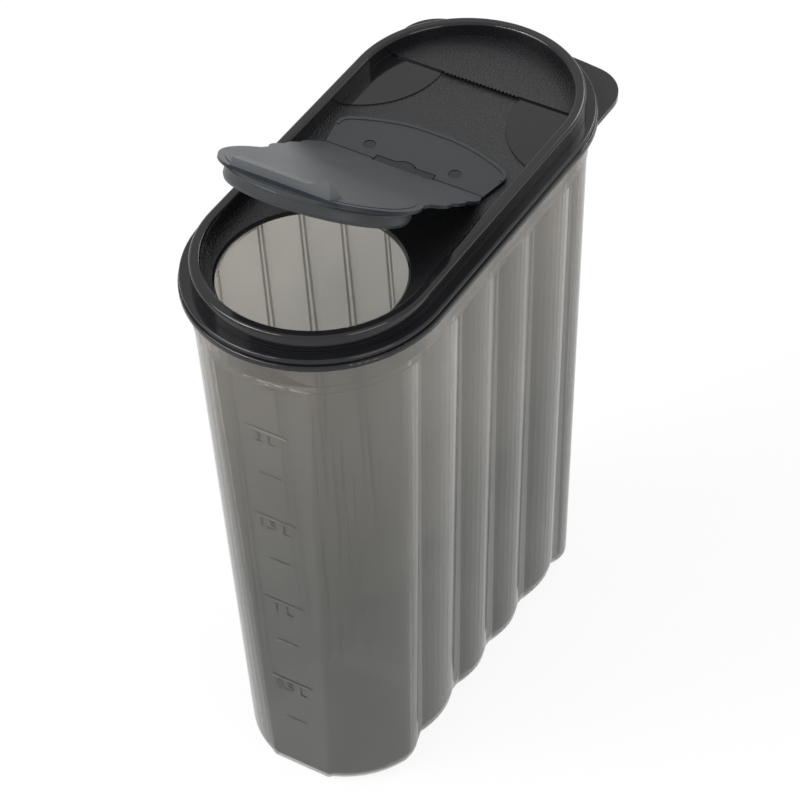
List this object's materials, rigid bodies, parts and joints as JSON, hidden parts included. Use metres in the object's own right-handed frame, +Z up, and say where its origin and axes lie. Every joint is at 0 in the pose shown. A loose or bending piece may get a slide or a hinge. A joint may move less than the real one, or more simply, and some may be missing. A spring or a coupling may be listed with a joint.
{
  "type": "cereal container with flip spout",
  "caption": "Tall fluted dry-food container with a lift-off lid, whose round pour opening is closed by a hinged flap with a plug ring.",
  "frame": {"origin": "centre of the base, on the surface that the container stands on", "axes": "+Z up, -Y towards the pour end, +Y towards the grab tab, +X to the right seen from the pour end"},
  "size_m": [0.0942, 0.1908, 0.2788],
  "materials": {
    "smoky_plastic": "translucent smoky grey, satin",
    "black_plastic": "charcoal, semi-gloss with a fine leather grain on the floor of the well",
    "flap_plastic": "translucent dark blue-grey, satin"
  },
  "bodies": {
    "container": {"container": "smoky_plastic"},
    "lid": {"lid": "black_plastic", "flap_base": "flap_plastic", "hinge_film_left": "flap_plastic", "hinge_film_right": "flap_plastic", "snap_spring": "flap_plastic"},
    "flap": {"flap_door": "flap_plastic"}
  },
  "joints": [
    {"name": "lid_lift", "type": "slide", "parent": "container", "child": "lid", "axis": [0, 0, 1], "range_m": [0, 0.04]},
    {"name": "flap_hinge", "type": "hinge", "parent": "lid", "child": "flap", "pos_m": [0, 0.00664, 0.22585], "axis": [1, 0, 0], "range_deg": [-140, 32.9], "deforming": ["hinge_film_left", "hinge_film_right", "snap_spring"]}
  ]
}
